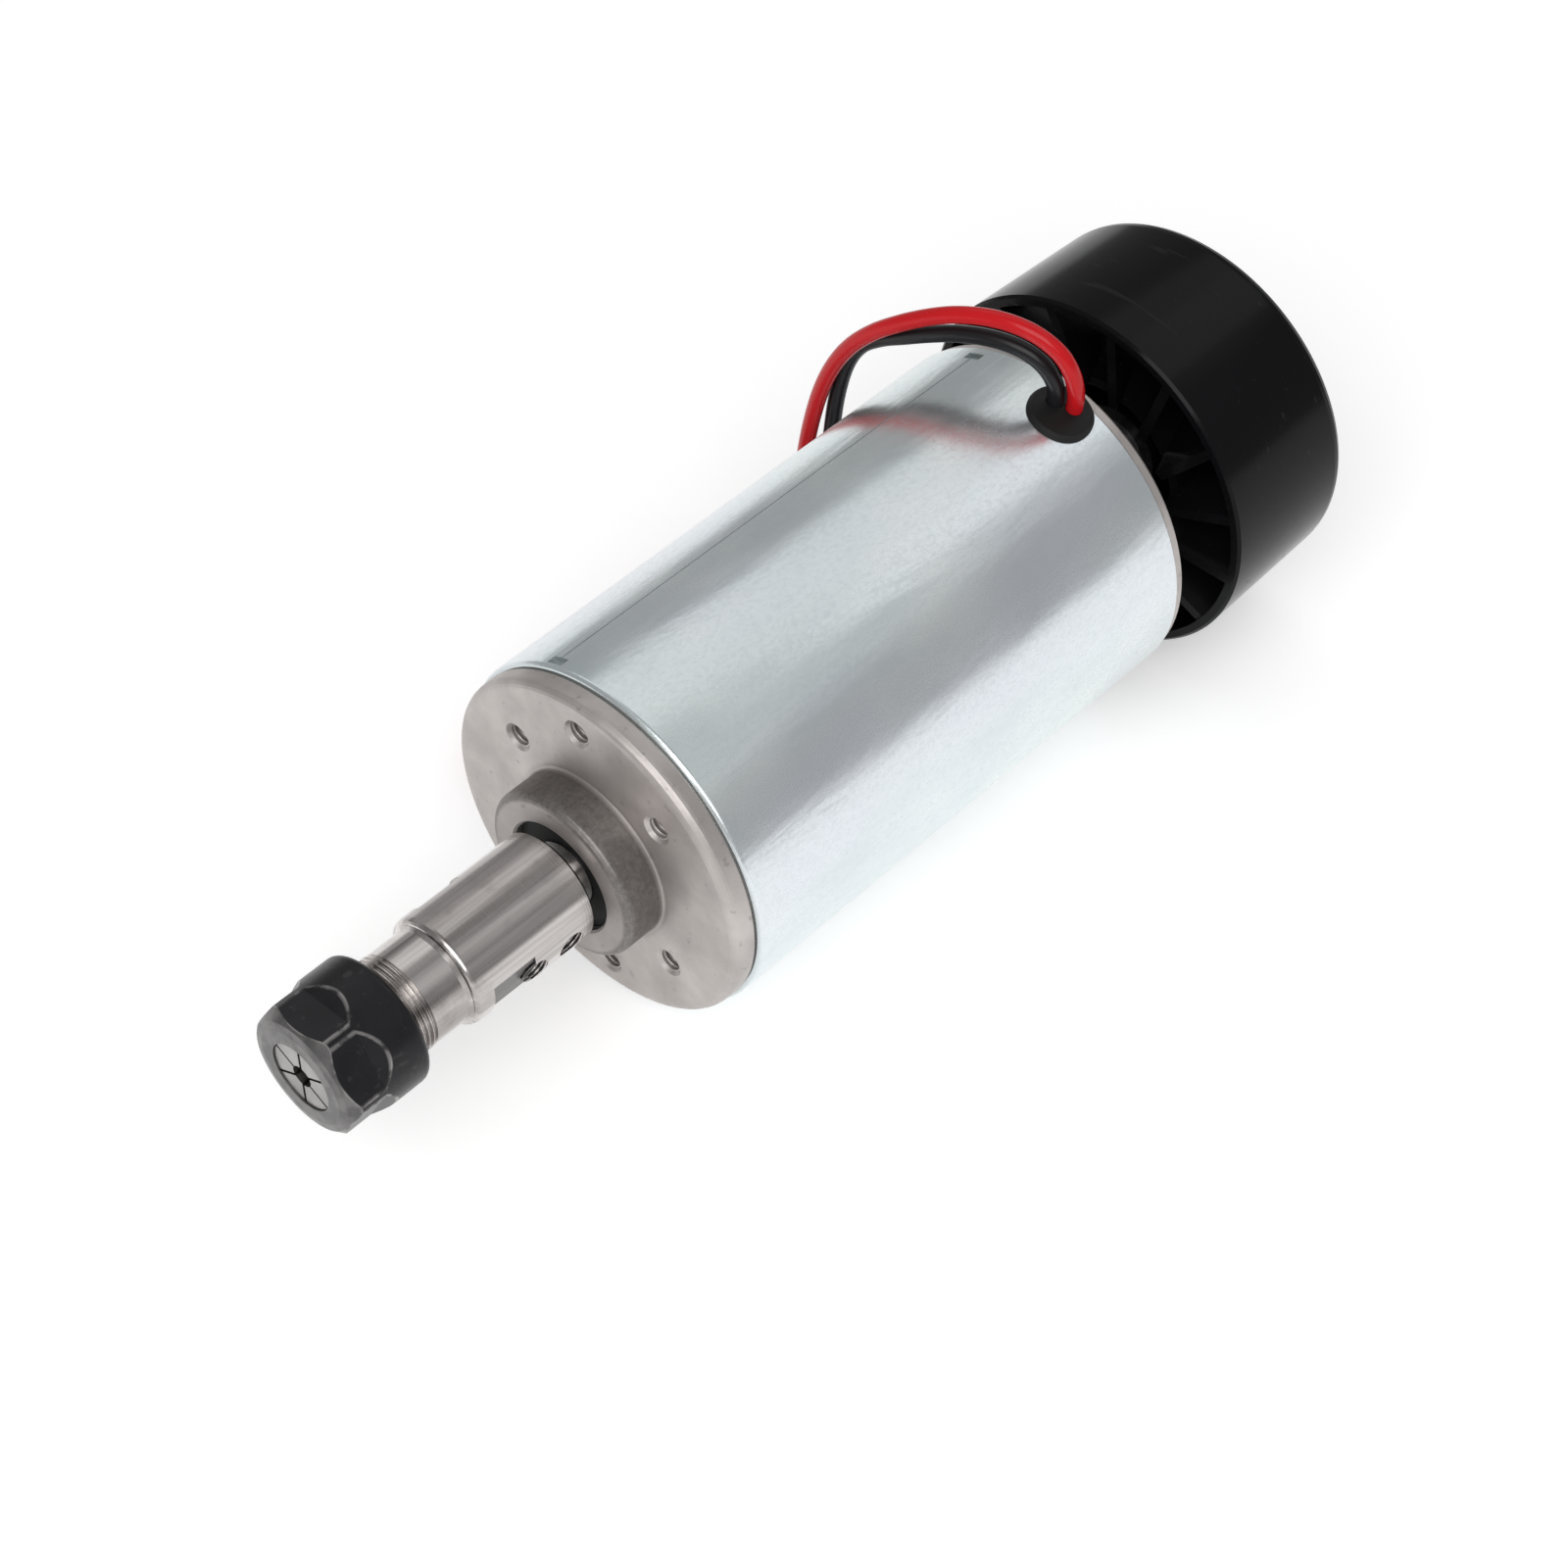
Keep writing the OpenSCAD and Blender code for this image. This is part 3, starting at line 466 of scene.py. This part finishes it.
def fanPlastic(facts):
    bench = Bench("fanPlastic")
    flow = bench.noise(*facts["flowNoise"])
    hair = bench.patches(facts["hairNoise"], facts["hairBand"])
    dust = bench.patches(facts["dustNoise"], facts["dustBand"])
    grain = bench.noise(*facts["grainNoise"])
    tone = bench.blend(flow, facts["low"], facts["high"])
    tone = bench.blend((dust * 0.08 + hair * 0.02).clipped(), tone, facts["dust"])
    rough = facts["rough"] + flow * 0.07 + hair * 0.12
    return bench.finish(Base_Color=tone, Roughness=rough, Specular_IOR_Level=facts["gloss"],
                        Normal=bench.bump(grain + flow * 2, *facts["bump"]))


# rubber, wire insulation, straps and boards: faint clouds, fine grain and dust
mouldedLook = {"dust": (0.5, 0.5, 0.5), "gloss": 0.25, "cloudNoise": (90, 3), "dustNoise": (2100, 2),
               "dustBand": (0.72, 0.78), "grainDetail": 3, "depth": 0.00008}


def moulded(name, low, high, rough, grainScale=1800, strength=0.08):
    bench = Bench(name)
    cloud = bench.noise(*mouldedLook["cloudNoise"])
    grain = bench.noise(grainScale, mouldedLook["grainDetail"])
    dust = bench.patches(mouldedLook["dustNoise"], mouldedLook["dustBand"])
    tone = bench.blend(cloud, low, high)
    tone = bench.blend(dust * 0.06, tone, mouldedLook["dust"])
    return bench.finish(Base_Color=tone, Roughness=rough + cloud * 0.08 + dust * 0.1,
                        Specular_IOR_Level=mouldedLook["gloss"],
                        Normal=bench.bump(grain, strength, mouldedLook["depth"]))


# stacked sheets of the core, stained in patches
coreLook = {"dark": (0.20, 0.20, 0.22), "bright": (0.42, 0.42, 0.44), "stain": (0.26, 0.20, 0.16),
            "metal": 0.9, "rough": 0.40, "sheetScale": 320.0, "stainNoise": (200, 4),
            "bump": (0.3, 0.0002)}


def laminatedCore(facts):
    bench = Bench("laminatedCore")
    sheets = bench.make("ShaderNodeTexWave", {"bands_direction": "X"},
                        {"Vector": bench.place, "Scale": facts["sheetScale"]})
    stain = bench.noise(*facts["stainNoise"])
    tone = bench.blend(sheets, facts["dark"], facts["bright"])
    tone = bench.blend(stain * 0.5, tone, facts["stain"])
    return bench.finish(Base_Color=tone, Metallic=facts["metal"], Roughness=facts["rough"] + stain * 0.12,
                        Normal=bench.bump(sheets, *facts["bump"]))


# lacquered wire of the winding
windingLook = {"dark": (0.30, 0.11, 0.04), "bright": (0.62, 0.28, 0.12), "metal": 0.9, "rough": 0.28,
               "strandScale": 260.0, "wander": 3.0, "wanderDetail": 2.0, "lacquerNoise": (160, 3),
               "bump": (0.6, 0.0003)}


def woundCopper(facts):
    bench = Bench("woundCopper")
    strands = bench.make("ShaderNodeTexWave", {"bands_direction": "X"}, {
        "Vector": bench.place, "Scale": facts["strandScale"], "Distortion": facts["wander"],
        "Detail": facts["wanderDetail"]})
    lacquer = bench.noise(*facts["lacquerNoise"])
    tone = bench.blend(strands, facts["dark"], facts["bright"])
    return bench.finish(Base_Color=tone, Metallic=facts["metal"], Roughness=facts["rough"] + lacquer * 0.15,
                        Normal=bench.bump(strands, *facts["bump"]))


finishes = {
    "zinc": zincSheet(canLook),
    "cast": castAlloy("castAlloy", castLook),
    "steel": groundSteel(holderLook),
    "bearing": turnedMetal("bearingSteel", (0.58, 0.57, 0.565), (0.70, 0.69, 0.685), 0.16),
    "collet": turnedMetal("colletSteel", (0.25, 0.24, 0.235), (0.42, 0.41, 0.405), 0.26),
    "spring": turnedMetal("springSteel", (0.42, 0.43, 0.46), (0.55, 0.56, 0.60), 0.28),
    "oxide": turnedMetal("blackOxide", (0.022, 0.022, 0.025), (0.050, 0.050, 0.055), 0.32, metal=0.5),
    "nut": blackNut(nutLook),
    "brass": turnedMetal("plainBrass", (0.62, 0.45, 0.19), (0.76, 0.58, 0.27), 0.22),
    "copper": turnedMetal("turnedCopper", (0.60, 0.30, 0.17), (0.75, 0.42, 0.25), 0.22),
    "fan": fanPlastic(fanLook),
    "rubber": moulded("grommetRubber", (0.007, 0.007, 0.007), (0.013, 0.013, 0.013), 0.50, 2200, 0.2),
    "red": moulded("redInsulation", (0.50, 0.007, 0.011), (0.66, 0.012, 0.017), 0.20, 2500, 0.05),
    "black": moulded("blackInsulation", (0.008, 0.008, 0.009), (0.016, 0.016, 0.018), 0.24, 2500, 0.05),
    "tie": moulded("strapNylon", (0.015, 0.015, 0.015), (0.03, 0.03, 0.03), 0.42),
    "ferrite": castAlloy("ferriteBlock", {**castLook, "low": (0.04, 0.04, 0.045),
                                          "high": (0.09, 0.09, 0.095)}, False),
    "carbon": castAlloy("carbonBrush", {**castLook, "low": (0.03, 0.03, 0.03),
                                        "high": (0.07, 0.065, 0.06)}, False),
    "card": moulded("phenolicCard", (0.16, 0.07, 0.03), (0.26, 0.13, 0.06), 0.5, 900, 0.2),
    "fibre": moulded("fibreInsulator", (0.05, 0.18, 0.10), (0.09, 0.26, 0.15), 0.6, 900, 0.2),
    "core": laminatedCore(coreLook),
    "winding": woundCopper(windingLook),
    "tinned": turnedMetal("tinnedStrands", (0.56, 0.56, 0.54), (0.74, 0.74, 0.72), 0.28),
}

slotFinish = {
    "zinc_steel": "zinc", "cast_alloy": "cast", "rubber_black": "rubber", "ferrite": "ferrite",
    "bearing_steel": "bearing", "phenolic": "card", "brass_part": "brass", "carbon": "carbon",
    "spring_steel": "spring", "ground_steel": "steel", "lamination": "core", "insulator": "fibre",
    "copper_wire": "winding", "copper_bar": "copper", "fan_plastic": "fan", "black_oxide": "oxide",
    "wire_red": "red", "wire_black": "black", "tinned": "tinned", "tie_plastic": "tie",
}
ownFinish = {"collet_nut": "nut", "collet": "collet"}

for part in frame["record"]["subparts"]:
    name = part["node"]
    finish = finishes[ownFinish.get(name, slotFinish[part["material_slot"]])]
    if not nodes[name].material_slots:
        nodes[name].data.materials.append(finish)
    for slot in nodes[name].material_slots:
        slot.material = finish
print("stage: finishes")

# leads, mm: out of the grommet, over the can, down behind it and into a folded hank;
# x counts from the can's rear edge until a route is placed; climb is the fold's steps between which
# it rises to the upper layer, descent the tail's (x, drop)
leads = {
    "diameter": 2.4, "canEnd": 86.5, "foldStart": -25.5, "run": 38.0, "bend": 6.0,
    "low": -26.2, "high": -23.8, "bare": 6.0, "runSteps": 4, "foldSteps": 8, "curveSteps": 6,
    "climb": (2, 7), "sides": 20,
    "descent": [(1.2, 0), (2.4, 0), (4.1, 0.26), (5.75, 1.2), (7.4, 2.14), (9.0, 2.4)],
    "red": {"start": [(-2.7, -7.1, 23.4), (-2.8, -7.9, 26.2)], "middle": 37.6,
            "air": [(-3.5, -8.4, 29.6), (-4.0, -7.9, 32.6), (-4.6, -6.4, 35.2), (-5.5, -4.0, 37.1),
                    (-6.4, -1.2, 38.0), (-7.3, 2.2, 38.0), (-8.2, 5.6, 37.3), (-9.1, 9.2, 35.9),
                    (-10.0, 13.0, 33.7), (-10.9, 16.8, 31.0), (-11.6, 20.4, 27.9), (-12.2, 23.6, 24.2),
                    (-12.6, 26.3, 19.6), (-12.8, 28.5, 14.0), (-12.9, 30.2, 7.4), (-12.9, 31.5, 0.2),
                    (-12.1, 32.8, -7.0), (-11.1, 35.2, -13.5), (-10.9, 38.6, -19.0), (-11.9, 41.6, -23.4),
                    (-14.5, 43.2, -25.8), (-18.5, 43.6, -26.2)]},
    "black": {"start": [(-3.9, -5.1, 23.9), (-4.0, -5.5, 26.8)], "middle": 22.0,
              "air": [(-4.3, -5.4, 29.6), (-4.9, -4.1, 32.0), (-5.7, -1.9, 33.6), (-6.6, 1.0, 34.2),
                      (-7.6, 4.6, 33.9), (-8.4, 8.6, 32.6), (-9.0, 12.5, 30.6), (-9.5, 16.5, 28.2),
                      (-9.7, 20.5, 25.6), (-9.9, 24.0, 22.4), (-10.2, 26.3, 18.0), (-10.6, 27.6, 12.0),
                      (-10.9, 28.3, 5.0), (-11.2, 28.6, -2.2), (-11.1, 28.6, -9.2), (-10.6, 28.6, -15.4),
                      (-11.3, 28.4, -20.9), (-13.7, 28.2, -24.7), (-17.5, 28.0, -26.1)]},
}


def hankRoute(middle):
    # one and a half turns: lower layer, rise in the right fold, upper layer, then down into the tail
    right = leads["foldStart"]
    left = right - leads["run"]
    r = leads["bend"]
    low, high = leads["low"], leads["high"]
    first, last = leads["climb"]
    runs = range(leads["runSteps"] + 1)
    folds = range(1, leads["foldSteps"])

    def run(side, z, way):
        start = right if way < 0 else left
        return [(start + way * leads["run"] * k / leads["runSteps"], middle + side * r, z) for k in runs]

    points = run(1, low, -1)
    for z in (low, high):
        for k in folds:
            a = math.radians(90 + 180 * k / leads["foldSteps"])
            points.append((left + r * math.cos(a), middle + r * math.sin(a), z))
        points += run(-1, z, 1)
        if z == high:
            break
        for k in folds:
            a = math.radians(-90 + 180 * k / leads["foldSteps"])
            rise = min(1, max(0, (k - first) / (last - first)))
            rise = rise * rise * (3 - 2 * rise)
            points.append((right + r * math.cos(a), middle + r * math.sin(a), low + rise * (high - low)))
        points += run(1, high, -1)
    return points + [(right + along, middle - r, high - drop) for along, drop in leads["descent"]]


def smoothRoute(points):
    # Catmull-Rom curve through the points, in metres
    steps = leads["curveSteps"]
    pts = [Vector((p[0] + leads["canEnd"], p[1], p[2])) * mm for p in points]
    pts = [2 * pts[0] - pts[1]] + pts + [2 * pts[-1] - pts[-2]]
    route = []
    for i in range(1, len(pts) - 2):
        a, b, c, d = pts[i - 1:i + 3]
        for k in range(steps):
            t = k / steps
            route.append(0.5 * (2 * b + (c - a) * t + (2 * a - 5 * b + 4 * c - d) * t * t
                                + (3 * b - a - 3 * c + d) * t ** 3))
    return route + [pts[-2]]


def tube(name, route, radius, sides):
    # round tube along a route, its frame carried along without twist
    points = []
    faces = []
    side = None
    for i, p in enumerate(route):
        way = (route[min(i + 1, len(route) - 1)] - route[max(i - 1, 0)]).normalized()
        side = way.orthogonal() if side is None else side - way * side.dot(way)
        side.normalize()
        up = way.cross(side)
        for k in range(sides):
            a = 2 * math.pi * k / sides
            points.append(p + radius * (math.cos(a) * side + math.sin(a) * up))
    for i in range(len(route) - 1):
        for k in range(sides):
            a = i * sides + k
            b = i * sides + (k + 1) % sides
            faces.append((a, b, b + sides, a + sides))
    faces.append(tuple(range(sides - 1, -1, -1)))
    last = (len(route) - 1) * sides
    faces.append(tuple(range(last, last + sides)))
    return meshPiece(name, points, faces)


# bare end: six tinned strands with a slow twist, mm
strands = {"count": 6, "radius": 0.38, "wire": 0.2, "turns": 1.0}


def bareStrands(colour, middle):
    tail = leads["descent"][-1][0]
    start = (leads["canEnd"] + leads["foldStart"] + tail, middle - leads["bend"], leads["low"])
    places = []
    for k in range(strands["count"]):
        phase = Matrix.Rotation(2 * math.pi * k / strands["count"], 3, "X")
        turn = (phase @ Matrix.Rotation(math.pi / 2, 3, "Y")).to_euler("XYZ")
        places.append((start, tuple(turn)))
    facts = {**strands, "height": leads["bare"]}
    piece = helixPiece("bareStrands" + colour.capitalize(), facts, places, finishes["tinned"])
    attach(piece, "motor_body")
    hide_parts("bare_end_" + colour)
    return piece


def makeLead(colour):
    facts = leads[colour]
    route = smoothRoute(facts["start"] + facts["air"] + hankRoute(facts["middle"]))
    lead = tube("lead" + colour.capitalize(), route, leads["diameter"] / 2 * mm, leads["sides"])
    lead.data.materials.append(finishes[colour])
    length = sum((route[i + 1] - route[i]).length for i in range(len(route) - 1))
    print("lead", colour, "length", round(length, 4))
    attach(lead, "motor_body")
    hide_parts("lead_" + colour, "hank_" + colour)
    ends = [bareStrands(colour, facts["middle"]), nodes["tie_" + colour]]


makeLead("red")
makeLead("black")
print("stage: leads")

# thread ridges in the tapped holes of the mounting face and in the holder's set screw holes, mm;
# angles run from +Z toward -Y
faceThreads = {"radius": 1.62, "wire": 0.17, "height": 4.2, "turns": 6.0, "from": 0.45,
               "holes": [(17.5, -48), (17.5, 42), (17.5, 132), (17.5, 222), (20.5, -5), (20.5, 175)]}
screwThreads = {"radius": 2.02, "wire": 0.12, "height": 1.1, "turns": 2.2, "from": 6.75,
                "angle": 106, "along": (-11.6, -17.8)}


def makeFaceThreads(facts):
    places = []
    for r, angle in facts["holes"]:
        a = math.radians(angle)
        places.append(((facts["from"], -r * math.sin(a), r * math.cos(a)), (0, math.pi / 2, 0)))
    piece = helixPiece("faceThreads", facts, places, finishes["cast"])
    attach(piece, "motor_body")


def makeScrewThreads(facts):
    a = math.radians(facts["angle"])
    r = facts["from"]
    places = [((x, -r * math.sin(a), r * math.cos(a)), (a, 0, 0)) for x in facts["along"]]
    piece = helixPiece("screwThreads", facts, places, finishes["steel"])
    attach(piece, "rotor")


makeFaceThreads(faceThreads)
makeScrewThreads(screwThreads)
print("stage: threads")

# floor, light and world, m; the floor's glow is seen by the camera and in mirrors, and lights nothing
# else, so the floor turns white and keeps its shadow
stage = {"floorHeight": -28.0 * mm, "floorGap": 0.2 * mm, "floorHalf": 1.5, "floorTone": 0.88,
         "floorRough": 0.9, "glow": 0.38, "glowRays": ("Camera", "Glossy", "Transmission"),
         "room": 0.32, "aim": (0.04, 0, 0)}
lamps = {"frontBox": {"place": (-0.70, -0.50, 0.90), "size": (1.2, 0.9), "power": 11.0},
         "keyBox": {"place": (0.59, 0.34, 0.89), "size": (1.6, 0.6), "power": 1.5},
         "sideBox": {"place": (0.56, -0.43, 0.80), "size": (1.4, 0.40), "power": 0.38}}


def makeFloor(facts):
    half = facts["floorHalf"]
    z = facts["floorHeight"] - facts["floorGap"]
    corners = [(-half, -half, z), (half, -half, z), (half, half, z), (-half, half, z)]
    floor = meshPiece("paleFloor", corners, [(0, 1, 2, 3)], smooth=False)
    bench = Bench("paleFloor")
    bench.finish(Base_Color=rgb(*[facts["floorTone"]] * 3), Roughness=facts["floorRough"],
                 Specular_IOR_Level=0.0)
    rays = bench.make("ShaderNodeLightPath", {}, {}).socket.node.outputs
    camera, mirror, glass = [Signal(bench, rays["Is " + kind + " Ray"]) for kind in facts["glowRays"]]
    seen = camera + mirror + glass
    glow = bench.make("ShaderNodeEmission", {}, {"Strength": seen * facts["glow"]})
    plain = Signal(bench, bench.shader.outputs[0])
    surface = bench.make("ShaderNodeAddShader", {}, {0: plain, 1: glow})
    bench.put(bench.tree.nodes["Material Output"].inputs["Surface"], surface)
    floor.data.materials.append(bench.material)


def softbox(name, facts):
    data = bpy.data.lights.new(name, "AREA")
    data.shape = "RECTANGLE"
    data.size, data.size_y = facts["size"]
    data.energy = facts["power"]
    lamp = bpy.data.objects.new(name, data)
    lamp.location = facts["place"]
    aim = Vector(stage["aim"]) - Vector(facts["place"])
    lamp.rotation_euler = aim.to_track_quat("-Z", "Y").to_euler()
    bpy.context.scene.collection.objects.link(lamp)


def makeWorld(facts):
    world = bpy.data.worlds.new("softRoom")
    bpy.context.scene.world = world
    world.use_nodes = True
    tree = world.node_tree
    room = tree.nodes["Background"]
    room.inputs["Color"].default_value = rgb(1, 1, 1)
    room.inputs["Strength"].default_value = facts["room"]
    white = tree.nodes.new("ShaderNodeBackground")
    white.inputs["Color"].default_value = rgb(1, 1, 1)
    mix = tree.nodes.new("ShaderNodeMixShader")
    path = tree.nodes.new("ShaderNodeLightPath")
    tree.links.new(path.outputs["Is Camera Ray"], mix.inputs[0])
    tree.links.new(room.outputs[0], mix.inputs[1])
    tree.links.new(white.outputs[0], mix.inputs[2])
    tree.links.new(mix.outputs[0], tree.nodes["World Output"].inputs["Surface"])


makeFloor(stage)
makeWorld(stage)
for name, facts in lamps.items():
    softbox(name, facts)
bpy.context.scene.view_settings.view_transform = "Standard"
print("stage: light")
